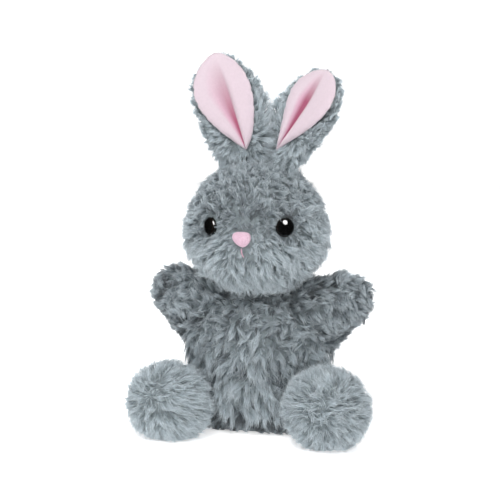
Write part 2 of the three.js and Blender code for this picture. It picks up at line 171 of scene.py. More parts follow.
def scatter(surface, count, rng, keep=None):
    """Points spread evenly over a surface, with their normals."""
    roots = normals = np.zeros((0, 3))
    u, v = rng.random((2, 20000))
    _, areas = surface_normals(surface, u, v)
    largest = np.percentile(areas, 99.5)
    while len(roots) < count:
        u, v = rng.random((2, count))
        found, areas = surface_normals(surface, u, v)
        chosen = rng.random(count) < areas / largest
        points = surface(u, v)
        if keep is not None:
            chosen &= keep(points)
        roots = np.vstack([roots, points[chosen]])
        normals = np.vstack([normals, found[chosen]])
    return roots[:count], normals[:count]


# ---- meshes ----


def linked(name, data):
    """A new object in the scene."""
    made = bpy.data.objects.new(name, data)
    scene.collection.objects.link(made)
    return made


def mesh_object(name, points, faces):
    mesh = bpy.data.meshes.new(name)
    mesh.from_pydata(points.tolist(), [], faces)
    mesh.shade_smooth()
    mesh.update()
    return linked(name, mesh)


def grid_object(name, surface, rows, columns, round_u=True, unwrap=False, opening=None):
    """A sheet over (u, v). round_u joins it up round u, and unwrap keeps (u, v) as its UV map.

    opening says which points are in a hole in the sheet.
    """
    us = np.linspace(0, 1, columns + 1)
    vs = np.linspace(0, 1, rows + 1)
    if round_u:
        us = us[:-1]
    uu, vv = np.meshgrid(us, vs)
    points = surface(uu.ravel(), vv.ravel())
    width = len(us)
    faces = []
    for start in range(0, rows * width, width):
        for column in range(columns):
            after = (column + 1) % width
            faces.append((start + column, start + after, start + width + after, start + width + column))
    if opening is not None:
        holes = opening(np.mean(points[np.array(faces)], axis=1))
        faces = [face for face, hole in zip(faces, holes) if not hole]
    made = mesh_object(name, points, faces)
    if unwrap:
        corners = np.zeros(len(made.data.loops), np.int32)
        made.data.loops.foreach_get("vertex_index", corners)
        uv = np.stack([uu.ravel(), vv.ravel()], axis=-1)[corners]
        made.data.uv_layers.new(name="OFBake").data.foreach_set("uv", (0.01 + 0.98 * uv).ravel())
    return made


def hair_mesh(name, lines, tones, widths):
    """One mesh of three-sided tapered hairs, with each hair's tone and the way along it as its UV map."""
    count, steps = lines.shape[0], lines.shape[1] - 1
    along = unit(np.gradient(lines, axis=1))
    rng = np.random.default_rng(count)
    turn = unit(rng.normal(size=(count, 1, 3)))
    side = unit(np.cross(along, turn))
    other = np.cross(along, side)
    radius = widths[:, None] * (1 - HAIR_TAPER * (np.arange(steps) / steps) ** 1.6)
    rings = []
    for corner in range(3):
        angle = math.tau * corner / 3
        out = side[:, :-1] * math.cos(angle) + other[:, :-1] * math.sin(angle)
        rings.append(lines[:, :-1] + out * radius[..., None])
    ring_points = np.stack(rings, axis=2).reshape(count, steps * 3, 3)
    points = np.concatenate([ring_points, lines[:, -1:]], axis=1)
    points[..., 2] = np.maximum(points[..., 2], FLOOR_CLEARANCE)
    per_hair = steps * 3 + 1

    faces = []
    for start in range(0, steps * 3, 3):
        for corner in range(3):
            low = [start + corner, start + (corner + 1) % 3]
            top = [low[1] + 3, low[0] + 3] if start < steps * 3 - 3 else [per_hair - 1]
            faces.append(low + top)
    pattern = np.array([corner for face in faces for corner in face])
    loops = (np.arange(count)[:, None] * per_hair + pattern).ravel()
    sizes = np.tile([len(face) for face in faces], count)

    mesh = bpy.data.meshes.new(name)
    mesh.vertices.add(count * per_hair)
    mesh.vertices.foreach_set("co", points.ravel())
    mesh.loops.add(len(loops))
    mesh.loops.foreach_set("vertex_index", loops.astype(np.int32))
    mesh.polygons.add(len(sizes))
    mesh.polygons.foreach_set("loop_start", np.concatenate([[0], np.cumsum(sizes)[:-1]]).astype(np.int32))
    mesh.shade_smooth()
    mesh.update(calc_edges=True)

    corner_u = np.append(np.tile([0, HAIR_U, 2 * HAIR_U], steps), HAIR_U)
    corner_v = np.append(np.repeat(np.arange(steps) / steps, 3), 1)
    uv = np.empty((count, len(pattern), 2))
    uv[..., 0] = tones[:, None] + corner_u[pattern]
    uv[..., 1] = corner_v[pattern]
    mesh.uv_layers.new(name="OFBake").data.foreach_set("uv", np.clip(uv, 0.01, 0.99).ravel())
    mesh.validate()
    return linked(name, mesh)


# ---- materials ----


def new_material(name, roughness, sheen=0, specular=0.5):
    material = bpy.data.materials.new(name)
    material.use_nodes = True
    shader = material.node_tree.nodes["Principled BSDF"]
    shader.inputs["Roughness"].default_value = roughness
    shader.inputs["Sheen Weight"].default_value = sheen
    shader.inputs["Specular IOR Level"].default_value = specular
    return material, material.node_tree, shader


def colour_ramp(tree, factor, stops):
    ramp = tree.nodes.new("ShaderNodeValToRGB")
    while len(ramp.color_ramp.elements) < len(stops):
        ramp.color_ramp.elements.new(0.5)
    for element, (position, colour) in zip(ramp.color_ramp.elements, stops):
        element.position = position
        element.color = (*colour, 1)
    tree.links.new(factor, ramp.inputs["Fac"])
    return ramp.outputs["Color"]


def grey_ramp(tree, factor, stops):
    return colour_ramp(tree, factor, [(position, (value,) * 3) for position, value in stops])


def feed(tree, socket, value):
    """Links an input to an output, or gives it a fixed value."""
    if isinstance(value, bpy.types.NodeSocket):
        tree.links.new(value, socket)
    else:
        socket.default_value = value


def mix(tree, a, b, factor=1, blend="MULTIPLY"):
    node = tree.nodes.new("ShaderNodeMix")
    node.data_type = "RGBA"
    node.blend_type = blend
    feed(tree, node.inputs["Factor"], factor)
    feed(tree, node.inputs[6], a)
    feed(tree, node.inputs[7], b)
    return node.outputs[2]


def noise(tree, scale):
    coordinates = tree.nodes.new("ShaderNodeTexCoord")
    node = tree.nodes.new("ShaderNodeTexNoise")
    node.inputs["Scale"].default_value = scale
    node.inputs["Detail"].default_value = 3
    tree.links.new(coordinates.outputs["Object"], node.inputs["Vector"])
    return node.outputs["Fac"]


def arithmetic(tree, kind, operation, a, b):
    node = tree.nodes.new("ShaderNode" + kind)
    node.operation = operation
    feed(tree, node.inputs[0], a)
    feed(tree, node.inputs[1], b)
    return node.outputs


def mapped(tree):
    """The two coordinates of the piece's UV map."""
    layer = tree.nodes.new("ShaderNodeUVMap")
    layer.uv_map = "OFBake"
    split = tree.nodes.new("ShaderNodeSeparateXYZ")
    tree.links.new(layer.outputs["UV"], split.inputs["Vector"])
    return split.outputs["X"], split.outputs["Y"]


def bump(tree, shader, height, strength, depth):
    node = tree.nodes.new("ShaderNodeBump")
    node.inputs["Strength"].default_value = strength
    node.inputs["Distance"].default_value = depth
    tree.links.new(height, node.inputs["Height"])
    tree.links.new(node.outputs["Normal"], shader.inputs["Normal"])


# The darkest stops are reached mostly by painted shade: at the hem, round the eyes and along the parting
# below the nose.
FUR_TONES = [  # what each tone multiplies the fur's colour by
    (0, (0.14, 0.14, 0.145)), (0.12, (0.46, 0.47, 0.48)), (0.25, (0.72, 0.73, 0.74)),
    (0.5, (0.95,) * 3), (1, (1.28, 1.28, 1.27)),
]


def fur_material(name, root, body, tip):
    """Hair coloured from root to tip, and by the tone in its UV map; the darker root is partly the fur's own
    colour and partly painted shade in the gaps between locks.
    """
    material, tree, shader = new_material(name, roughness=0.8, sheen=0.2, specular=0.12)
    tone, along = mapped(tree)
    colour = colour_ramp(tree, along, [(0, root), (0.5, body), (1, tip)])
    feed(tree, shader.inputs["Base Color"], mix(tree, colour, colour_ramp(tree, tone, FUR_TONES)))
    return material


def cloth_material(name, dark, light, scale, strength, depth, roughness=0.85, sheen=0.3):
    material, tree, shader = new_material(name, roughness, sheen, 0.3)
    grain = noise(tree, scale)
    feed(tree, shader.inputs["Base Color"], colour_ramp(tree, grain, [(0.3, dark), (0.7, light)]))
    bump(tree, shader, grain, strength, depth)
    return material


# Dark roots: partly the fur's own colour, partly painted shade in the gaps between locks.
ROOT_GREY_AND_SHADE = (0.11, 0.135, 0.145)
BODY_GREY = (0.385, 0.447, 0.484)
TIP_GREY = (0.70, 0.768, 0.81)
fur_look = fur_material("long_pile_fur", ROOT_GREY_AND_SHADE, BODY_GREY, TIP_GREY)
backing_look = cloth_material("fur_backing", (0.12, 0.145, 0.155), (0.20, 0.235, 0.25), 420, 0.8, 0.0008)
lining_look = cloth_material(
    "lining_cloth", (0.10, 0.12, 0.13), (0.17, 0.20, 0.215), 1500, 0.3, 0.0002, roughness=0.7, sheen=0.1,
)
nose_look = cloth_material("nose_fabric", (0.52, 0.33, 0.42), (0.62, 0.44, 0.53), 1400, 0.5, 0.0003)
pink_thread_look = cloth_material("mouth_thread", (0.46, 0.25, 0.33), (0.58, 0.35, 0.44), 2500, 0.5, 0.0002)
thread_look = cloth_material("sewing_thread", (0.05, 0.06, 0.065), (0.12, 0.14, 0.15), 2500, 0.5, 0.0002)
washer_look = cloth_material(
    "washer_plastic", (0.66, 0.66, 0.64), (0.74, 0.74, 0.72), 200, 0.1, 0.0001, roughness=0.4, sheen=0,
)


def velour_material(name, half_open, fold, fading):
    """Pale pink velour with a deep pink crease, darkened further with painted shade.

    half_open is the width of the crease's gradual side along the sheet, fold is its colours, deeper pink and
    painted shade, from there to its steep side, and fading is where the crease begins and ends fading out.
    """
    material, tree, shader = new_material(name, roughness=0.85, sheen=0.5, specular=0.15)
    across, along = mapped(tree)
    from_middle = arithmetic(tree, "Math", "SUBTRACT", across, 0.5)["Value"]
    share = arithmetic(tree, "Math", "DIVIDE", from_middle, grey_ramp(tree, along, half_open))["Value"]
    sheet = colour_ramp(tree, arithmetic(tree, "Math", "ADD", share, FOLD_MIDDLE)["Value"], fold)
    upper = grey_ramp(tree, along, [(fading[0], 0), (fading[1], 1)])
    nap = grey_ramp(tree, noise(tree, 700), [(0.3, 0.95), (0.7, 1)])
    faded = mix(tree, sheet, (*VELOUR, 1), factor=upper, blend="MIX")
    feed(tree, shader.inputs["Base Color"], mix(tree, faded, nap))
    bump(tree, shader, noise(tree, 900), 0.2, 0.0002)
    return material


VELOUR = (0.562, 0.465, 0.515)
# The crease's colours are partly a deeper pink and partly painted shade, where the fold shades itself.
CREASE_SIDE = (0.54, 0.32, 0.41)
CREASE = (0.31, 0.075, 0.135)
FOLD_MIDDLE = 0.6  # where the crease's bottom is among the fold's colours
velour_looks = {
    "left": velour_material(
        "pink_velour_left",
        [(0, 0.16), (0.3, 0.3), (0.6, 0.5)],
        [(0, VELOUR), (0.22, CREASE_SIDE), (0.48, CREASE), (0.62, CREASE), (0.74, VELOUR)],
        (0.3, 0.92),
    ),
    "right": velour_material(
        "pink_velour_right",
        [(0, 0.16), (0.3, 0.3), (0.6, 0.4), (0.8, 0.34), (1, 0.3)],
        [(0, VELOUR), (0.22, CREASE_SIDE), (0.42, CREASE), (0.66, CREASE), (0.8, VELOUR)],
        (0.6, 0.95),
    ),
}


EYE_BLACK = (0.003,) * 3
EYE_RING = (0.009, 0.0065, 0.0055)
EYE_RIM = (0.005, 0.004, 0.003)


def eye_material(name, centre, facing, radius):
    """Glossy black plastic with a dark brown ring near its rim."""
    material, tree, shader = new_material(name, roughness=0.05, specular=0.5)
    coordinates = tree.nodes.new("ShaderNodeTexCoord")
    offset = arithmetic(tree, "VectorMath", "SUBTRACT", coordinates.outputs["Object"], centre)["Vector"]
    across = arithmetic(tree, "VectorMath", "CROSS_PRODUCT", offset, facing)["Vector"]
    from_axis = arithmetic(tree, "VectorMath", "LENGTH", across, (0, 0, 0))["Value"]
    share = arithmetic(tree, "Math", "DIVIDE", from_axis, radius)["Value"]
    stops = [(0.86, EYE_BLACK), (0.93, EYE_RING), (1, EYE_RIM)]
    feed(tree, shader.inputs["Base Color"], colour_ramp(tree, share, stops))
    return material


# ---- fur ----


@dataclass
class Coat:
    """How the pile of one piece lies.

    Length, lift, curl, wander and tone are each a number, or a function of points.
    """

    flow: object  # function of points: the way the pile is combed
    length: object
    lift: object  # 0 lies flat on the skin, 1 stands up
    locks: int
    seed: int
    tone: object = 0.5  # 0 is the darkest, 1 the palest
    curl: object = 0.35
    wander: object = 0.5  # how far the pile strays from the way it is combed
    keep: object = None  # function of points: where there is pile
    spread: float = 1.15 * MM  # radius of a lock at its root
    gather: float = 0.75  # how far a lock's hairs close up by its tip
    tuft: int = 4  # locks in a tuft
    pull: float = 0.7  # how far a tuft's locks follow its leading one
    mottle: float = 0.16  # how much the tone differs between tufts

    def under(self):
        """The short dense pile below this coat."""
        return Coat(
            self.flow, UNDER_LENGTH, 1, self.locks // 6, self.seed + 5, wander=2, keep=self.keep,
            tone=self.under_tone, gather=0.3, pull=0,
        )

    def under_tone(self, points):
        return value_at(self.tone, points) - UNDER_DARKER


def value_at(value, points):
    """A number for each point, from a function of points or from one number."""
    return value(points) if callable(value) else np.full(len(points), value)


def leading_locks(roots, tuft):
    """For each lock, the nearest of the few that lead a tuft."""
    leaders = roots[: max(1, len(roots) // tuft)]
    return np.argmin(np.sum(leaders**2, axis=1)[None] - 2 * roots @ leaders.T, axis=1)


def lock_lines(coat, surface):
    """The hairs of a coat, as lines of points, and the tone of each."""
    rng = np.random.default_rng(coat.seed)
    roots, normals = scatter(surface, coat.locks, rng, coat.keep)
    count, hairs = len(roots), HAIRS_PER_LOCK
    eddies = Ripple(coat.seed + 1, EDDY_SIZE)
    drift = Ripple(coat.seed + 2, DRIFT_SIZE)
    swell = Ripple(coat.seed + 3, SWELL_SIZE)
    ruffle = Ripple(coat.seed + 4, 0.5 * EDDY_SIZE)
    wander = value_at(coat.wander, roots)[:, None]
    lie = unit(coat.flow(roots))
    lie = lie + wander * (eddies(roots) + 0.5 * drift(roots) + 0.6 * ruffle(roots))
    lie = lie + 0.15 * wander * rng.normal(size=(count, 3))
    lie = unit(lie - normals * dots(lie, normals))
    side = np.cross(normals, lie)
    length = value_at(coat.length, roots) * rng.uniform(*LOCK_LENGTHS, count)
    lift = value_at(coat.lift, roots) * rng.uniform(*LOCK_LIFTS, count)
    curl = value_at(coat.curl, roots)
    phase = 3 * swell.level(roots) + rng.normal(0, 0.7, count)
    other_phase = rng.uniform(0, math.tau, count)
    bend = rng.uniform(*LOCK_BENDS, count)

    guide = np.zeros((count, HAIR_STEPS + 1, 3))
    for step in range(1, HAIR_STEPS + 1):
        s = (step - 0.5) / HAIR_STEPS
        sway = curl * np.sin(phase + bend * s)
        heave = 0.5 * curl * np.sin(other_phase + bend * s)
        way = normals * (lift * (1.25 - 0.8 * s) + heave)[:, None]
        way = way + lie * (0.45 + 0.75 * s) + side * sway[:, None]
        guide[:, step] = guide[:, step - 1] + unit(way) * (length / HAIR_STEPS)[:, None]

    leader = leading_locks(roots, coat.tuft)
    s = (np.arange(HAIR_STEPS + 1) / HAIR_STEPS)[:, None]  # share of the way along a hair
    led = guide[leader] + (roots[leader] - roots)[:, None]
    guide = guide + (led - guide) * coat.pull * s**0.5

    reach = (np.sqrt(rng.random((count, hairs))) * coat.spread)[..., None]
    angle = rng.uniform(0, math.tau, (count, hairs))[..., None]
    offset = reach * (np.cos(angle) * lie[:, None] + np.sin(angle) * side[:, None])
    scale = rng.uniform(*HAIR_LENGTHS, (count, hairs))
    gather = coat.gather * rng.uniform(*HAIR_GATHERS, (count, hairs))
    stray = rng.normal(0, STRAY, (count, hairs, 1, 3)) * length[:, None, None, None] * s**1.5
    lines = (
        (roots - normals * ROOT_DEPTH)[:, None, None]
        + offset[:, :, None] * (1 - gather[..., None, None] * s)
        + guide[:, None] * scale[..., None, None]
        + stray
    )
    lines = lines.reshape(count * hairs, HAIR_STEPS + 1, 3)

    tone = value_at(coat.tone, roots) + 0.07 * ruffle.level(roots)
    tone = tone + rng.normal(0, coat.mottle, count)[leader] + rng.normal(0, LOCK_TONES, count)
    tones = np.repeat(tone, hairs) + rng.normal(0, HAIR_TONES, count * hairs)
    return lines, np.clip(tones, 0.02, 0.96)


def thicken(piece, thickness):
    """Gives a sheet its thickness."""
    piece.modifiers.new("cloth_thickness", "SOLIDIFY").thickness = thickness


def dress(piece, look, body):
    """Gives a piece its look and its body."""
    piece.data.materials.append(look)
    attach(piece, body)


def plant(name, body, surface, coat):
    """Grows a coat on a surface, as meshes that move with a body."""
    grown = [lock_lines(layer, surface) for layer in (coat, coat.under())]
    lines = np.concatenate([lines for lines, _ in grown])
    tones = np.concatenate([tones for _, tones in grown])
    rng = np.random.default_rng(coat.seed + 9)
    widths = HAIR_WIDTH * rng.uniform(*HAIR_WIDTHS, len(lines))
    total = math.ceil(len(lines) / HAIRS_PER_PIECE)
    for index, part in enumerate(np.array_split(np.arange(len(lines)), total)):
        piece = hair_mesh(f"{name}_fur_{index + 1}", lines[part], tones[part], widths[part])
        dress(piece, fur_look, body)


def skin(name, body, surface, rows, columns, replaces, opening=None):
    """The fabric that the pile grows from."""
    made = grid_object(name, surface, rows, columns, opening=opening)
    dress(made, backing_look, body)
    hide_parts(*replaces)


# ---- head ----

HEAD_PANELS = ["head_left_panel", "head_right_panel", "head_gusset"]
head_low, head_high = extent(*HEAD_PANELS)
nose_centre = middle("nose")
eye_centres = {side: middle(f"eye_{side}") for side in SIDES}
# Where each eye sits next to its CAD solid, and how far it is turned outwards.
EYE_SHIFTS = {"left": (3.5, 0, 0.5), "right": (0, 0, 1.4)}
EYE_TURNS = {"left": (-0.36, 0, 0), "right": (0, 0, 0)}
eye_places = {side: eye_centres[side] + np.array(EYE_SHIFTS[side]) * MM for side in SIDES}
SKULL_DEPTH, SKULL_HEIGHT = 39 * MM, 41.5 * MM  # half sizes
MUZZLE = np.array([26, 19, 18]) * MM  # half sizes
skull_radii = np.array([(head_high[0] - head_low[0]) / 2, SKULL_DEPTH, SKULL_HEIGHT]) - PILE_INSET
skull_centre = np.array([0.4 * MM, head_high[1] - SKULL_DEPTH, head_high[2] - SKULL_HEIGHT])
muzzle_radii = MUZZLE - PILE_INSET
muzzle_centre = np.array([0, head_low[1] + MUZZLE[1], skull_centre[2] - 11.5 * MM])
MELT = 450  # how sharply the muzzle meets the skull, per metre


def head_surface(u, v):
    """Skull and muzzle melted into one, from the crown (v = 0) down to the neck."""
    way = globe(u, v)
    skull = 1 / np.linalg.norm(way / skull_radii, axis=-1)
    shift = (skull_centre - muzzle_centre) / muzzle_radii
    ray = way / muzzle_radii
    a = np.sum(ray * ray, axis=-1)
    b = np.sum(ray * shift, axis=-1)
    c = np.sum(shift * shift) - 1
    root = np.maximum(b * b - a * c, 0)
    muzzle = np.where(b * b > a * c, (-b + np.sqrt(root)) / a, 0)
    radius = np.log(np.exp(MELT * skull) + np.exp(MELT * np.maximum(muzzle, 0))) / MELT
    points = way * radius[..., None]
    sideways, level = way[..., 0], way[..., 2]
    lopsided = 0.02 * np.sign(sideways) * smooth(np.abs(sideways), 0, 0.3) - 0.01
    cheeks = 0.10 * bell(level + 0.5, 0.4)
    points[..., 0] *= 1.04 + cheeks - smooth(level, 0.15, 0.85) * lopsided
    return skull_centre + points


head_shape = outward(head_surface)
BARE_NOSE = np.array([6.4, 12, 5.4]) * MM  # half sizes of the patch without pile
BARE_EYE = 6.8 * MM  # radius of the patch without pile
MOUTH_REACH = 15 * MM  # how far down from the nose the parting goes
BRIDGE = nose_centre + UP * 9 * MM
FOREHEAD = nose_centre + np.array([-1, 5, 27]) * MM


def parting(points):
    """How far points are to the side of the line below the nose where the pile parts."""
    return points[:, 0] - 0.22 * (nose_centre[2] - 4 * MM - points[:, 2])


def near_mouth(points, start, depth):
    """Which points are on the front of the muzzle, from a given height below the nose's middle."""
    below = nose_centre[2] - points[:, 2]
    return (below > start) & (below < MOUTH_REACH) & (points[:, 1] < nose_centre[1] + depth)


def rising(points, low, high):
    """A soft step up the head, with heights in millimetres above the middle of the skull."""
    return smooth(points[:, 2] - skull_centre[2], low * MM, high * MM)


def head_keep(points):
    """No pile on the eyes or the nose, and a parting at the mouth."""
    free = np.linalg.norm((points - nose_centre) / BARE_NOSE, axis=1) > 1
    for centre in eye_places.values():
        free &= np.linalg.norm((points - centre) * [1.25, 1, 1], axis=1) > BARE_EYE
    return free & ~(near_mouth(points, 0, 8 * MM) & (np.abs(parting(points)) < 0.9 * MM))


def head_flow(points):
    """Outwards from the nose over the face, downwards over the chin and the back."""
    from_nose = unit(points - nose_centre - UP * 5 * MM)
    back = smooth(points[:, 1], -10 * MM, 15 * MM)[:, None]
    flow = from_nose * (1 - back) - UP * back - UP * 0.45 * (1 - rising(points, 15, 35)[:, None])
    for centre in eye_places.values():
        near = bell(distance(points, centre), 9 * MM)[:, None]
        flow = flow * (1 - near) + unit(points - centre) * 1.4 * near
    return flow


def head_pile(points):
    """Short round the nose and the eyes and over the crown, and long on the chin."""
    face = 3.5 + 8.5 * smooth(distance(points, nose_centre), 5 * MM, 24 * MM)
    chin = 4 * (1 - rising(points, -32, -18))
    crown = rising(points, 2, 22) * smooth(-points[:, 1], -25 * MM, 5 * MM)
    length = MM * (face + chin) * (1 - 0.36 * crown)
    for centre in eye_places.values():
        length = length * (0.45 + 0.55 * smooth(distance(points, centre), 6 * MM, 14 * MM))
    return length


def head_lift(points):
    return 0.3 + 0.3 * smooth(distance(points, nose_centre), 8 * MM, 30 * MM)


def head_curl(points):
    """Tight curls over the forehead and the crown, and straight combed pile on the cheeks."""
    return 0.3 + 0.3 * rising(points, -2, 16)


def head_wander(points):
    """Ruffled over the forehead and the crown."""
    return 0.4 + 0.7 * rising(points, -2, 20)


def head_tone_and_shade(points):
    """Pale cheeks and chin, a darker forehead, and dark short pile round the nose; painted shade along the
    parting below the nose and in the sockets round the eyes.
    """
    tone = 0.72 - 0.24 * rising(points, -2, 14)
    tone = tone - 0.5 * bell(distance(points, BRIDGE), 11 * MM)
    tone = tone - 0.17 * bell(distance(points, FOREHEAD), 17 * MM)
    # painted shade in the parting below the nose
    tone = tone - 0.5 * near_mouth(points, 3 * MM, 12 * MM) * bell(parting(points), 1.8 * MM)
    # painted shade in the sockets round the eyes
    for centre in eye_places.values():
        tone = tone - 0.9 * bell(distance(points, centre), 8.5 * MM)
    return tone


skin("head_skin", "head", head_shape, 48, 64, [*HEAD_PANELS, "head_stuffing"])
plant("head", "head", head_shape, Coat(
    head_flow, head_pile, head_lift, locks=7200, seed=11, keep=head_keep, curl=head_curl, wander=head_wander,
    tone=head_tone_and_shade, tuft=3, pull=0.55, mottle=0.11,
))


# ---- torso ----

TORSO_PANELS = ["torso_front_panel", "torso_back_panel"]
torso_y = middle(*TORSO_PANELS)[1]
ARM_WAYS = {side: unit(np.array([28 * sign, 6, 13])) for side, sign in SIDES.items()}
ARMHOLE_RADIUS = 13.5 * MM
# Height, then half width or half depth, in millimetres.
TORSO_WIDTHS = [
    (0, 35.5), (8, 37), (17, 37.5), (36, 40.5), (46, 44), (56, 47), (66, 47.5), (74, 42), (82, 31), (92, 18),
    (98, 12),
]
TORSO_DEPTHS = [
    (0, 18), (8, 21.5), (17, 25.5), (36, 26), (50, 24.5), (62, 23), (75, 21.5), (84, 19), (92, 14), (98, 11),
]
TORSO_FOOT, TORSO_TOP = 2 * MM, 98 * MM


def along_table(table, heights):
    """Reads a table of millimetres at heights in metres."""
    levels, values = zip(*table)
    return np.interp(heights / MM, levels, values) * MM


def torso_outline(around, height, inset):
    """The body's outline at a height, set in by a given depth: boxy at the hem, and oval higher up."""
    power = 3.4 - 1.4 * smooth(height, 8 * MM, 45 * MM)
    corner = (np.abs(np.cos(around)) ** power + np.abs(np.sin(around)) ** power) ** (-1 / power)
    x = (along_table(TORSO_WIDTHS, height) - inset) * np.cos(around) * corner
    y = (along_table(TORSO_DEPTHS, height) - inset) * np.sin(around) * corner
    return x, y + torso_y


def torso_layer(bottom, top, inset=0, crease=0):
    """The body's shape between two heights, set in by a given depth, with creases of a given size."""

    def surface(u, v):
        around = math.tau * u
        height = bottom + (top - bottom) * v
        x, y = torso_outline(around, height, inset)
        creases = crease * np.sin(9 * around + 5 * np.sin(40 * height)) * smooth(height, 12 * MM, 30 * MM)
        return np.stack([x + creases * np.cos(around), y + creases * np.sin(around), height], axis=-1)

    return surface


def torso_flow(points):
    return 0.25 * unit(points * [1, 0, 0]) - UP


def torso_pile(points):
    """Longest on the belly, and short at the hem."""
    chest = smooth(points[:, 2], 50 * MM, 75 * MM)
    hem = 1 - smooth(points[:, 2], 4 * MM, 22 * MM)
    return (16.5 - 6 * chest - 8 * hem) * MM


def torso_wander(points):
    """Combed on the belly, and ruffled on the chest."""
    return 0.18 + 0.7 * smooth(points[:, 2], 54 * MM, 76 * MM)


def torso_tone_and_shade(points):
    """Painted shade: darker under the chin, where the head shades the chest, and darkest at the hem, where
    the feet and the floor shade it.
    """
    # painted shade under the chin
    chest = smooth(points[:, 2], 48 * MM, 80 * MM)
    # painted shade at the hem
    hem = 1 - smooth(points[:, 2], 14 * MM, 23 * MM)
    return 0.62 - 0.23 * chest - 0.65 * hem


def outside_torso(points):
    """Where the pile of an arm or a foot can be seen, which is not deep inside the body."""
    height = np.clip(points[:, 2], 0, TORSO_TOP)
    x, y = points[:, 0], points[:, 1] - torso_y
    around = np.arctan2(y / along_table(TORSO_DEPTHS, height), x / along_table(TORSO_WIDTHS, height))
    edge_x, edge_y = torso_outline(around, height, 2 * MM)
    inside = np.hypot(x, y) < np.hypot(edge_x, edge_y - torso_y)
    return ~(inside & (points[:, 2] < TORSO_TOP))


def from_arm_axis(points):
    """How far points are from the line that runs outwards along the nearer arm."""
    away = []
    for side, way in ARM_WAYS.items():
        offset = points - pivot(f"arm_{side}_raise")
        along = np.maximum(dots(offset, way), -8 * MM)
        away.append(distance(offset, along * way))
    return np.minimum(*away)


def armhole(points):
    return from_arm_axis(points) < ARMHOLE_RADIUS


def torso_keep(points):
    """No pile inside the arms, or where the neck goes up."""
    near_neck = np.hypot(points[:, 0], points[:, 1] - torso_y) < 15 * MM
    return ~(armhole(points) | (near_neck & (points[:, 2] > 90 * MM)))


torso_shape = torso_layer(TORSO_FOOT, TORSO_TOP)
skin("torso_skin", "torso", torso_shape, 48, 96, TORSO_PANELS, opening=armhole)
plant("torso", "torso", torso_shape, Coat(
    torso_flow, torso_pile, 0.28, locks=6400, seed=21, curl=0.6, wander=torso_wander, tuft=4, pull=0.88,
    spread=0.7 * MM, mottle=0.3, tone=torso_tone_and_shade, keep=torso_keep,
))


# ---- arms ----

# How far along the arm, then its radius, in millimetres.
ARM_RADII = [
    (-10, 11), (-8, 12.5), (0, 16.5), (9, 16.8), (18, 15.8), (27, 15), (36, 14), (42, 9.5), (45, 4),
    (46, 0.1),
]
ARM_START, ARM_END = ARM_RADII[0][0] * MM, ARM_RADII[-1][0] * MM
SHOULDER_BULK = {"left": 0.14, "right": 0}


def arm_surface(side, sign):
    """A stub arm that is thickest over and under the shoulder."""
    shoulder = pivot(f"arm_{side}_raise")
    way = ARM_WAYS[side]
    across = unit(np.cross([0, 1, 0], way))
    depth = np.cross(way, across)

    def surface(u, v):
        around = math.tau * u * sign
        along = ARM_START + (ARM_END - ARM_START) * v
        radius = along_table(ARM_RADII, along)
        upwards = np.cos(around) * np.sign(across[2])
        bulk = 1 + 0.45 * np.clip(-upwards, 0, 1) * (1 - smooth(along, 6 * MM, 40 * MM))
        bulk = bulk + np.clip(upwards, 0, 1) * (SHOULDER_BULK[side] + 0.34 * bell(along - 9 * MM, 11 * MM))
        return (
            shoulder
            + way * along[..., None]
            + across * (radius * np.cos(around) * bulk)[..., None]
            + depth * (radius * np.sin(around) * 0.88)[..., None]
        )

    return surface


for side, sign in SIDES.items():
    arm_shape = orient(arm_surface(side, sign))

    def arm_flow(points, way=ARM_WAYS[side]):
        return np.tile(way * 0.7 - UP * 0.45, (len(points), 1))

    nodes = [f"arm_{side}_front_panel", f"arm_{side}_back_panel", f"paw_{side}_stuffing"]
    skin(f"arm_{side}_skin", f"arm_{side}", arm_shape, 28, 40, nodes)
    plant(f"arm_{side}", f"arm_{side}", arm_shape, Coat(
        arm_flow, 9.5 * MM, 0.5, locks=2350, seed=31 + sign, curl=0.5, wander=0.8, tone=0.38, mottle=0.22,
        keep=outside_torso,
    ))


# ---- feet ----

# The two feet differ: the height of the ball, its place next to the CAD solids, and where the pile parts.
FOOT_HEIGHTS = {"left": 25.8, "right": 26.3}
FOOT_SHIFTS = {"left": (-0.4, 0, -2.8), "right": (2.0, 0, -0.4)}
FOOT_WHORLS = {"left": (-0.3, -1, 0.38), "right": (0.1, -1, 0.38)}
FOOT_WANDER = {"left": 0.22, "right": 0.4}
# The feet's tones are paler than the body's partly as painted light, for the light that falls on their tops
# and fronts.
FOOT_PILE = {
    "left": dict(curl=0.2, gather=0.3, tone=0.88, pull=0.25),
    "right": dict(curl=0.3, gather=0.45, tone=0.74, pull=0.4),
}


def foot_ball(side, sign):
    """The middle and the half sizes of a foot."""
    low, high = extent(f"foot_{side}_upper", f"foot_{side}_sole")
    front = extent(f"foot_{side}_sole")[0][1]
    outer = high[0] if sign > 0 else -low[0]
    centre = np.array([sign * (outer - 25 * MM), front + 23.5 * MM, high[2] - 26 * MM])
    radii = np.array([26.8, 23.5, FOOT_HEIGHTS[side]]) * MM - PILE_INSET
    return centre + np.array(FOOT_SHIFTS[side]) * MM, radii


def foot_surface(centre, radii):
    def surface(u, v):
        around = math.tau * u
        back = math.pi * v
        way = np.stack([np.cos(around) * np.sin(back), -np.cos(back), np.sin(around) * np.sin(back)], axis=-1)
        point = centre + way * radii * (1 + 0.05 * np.exp(-((back - math.pi / 2) ** 2) * 3))[..., None]
        point[..., 2] = np.maximum(point[..., 2], 1.2 * MM)
        return point

    return surface


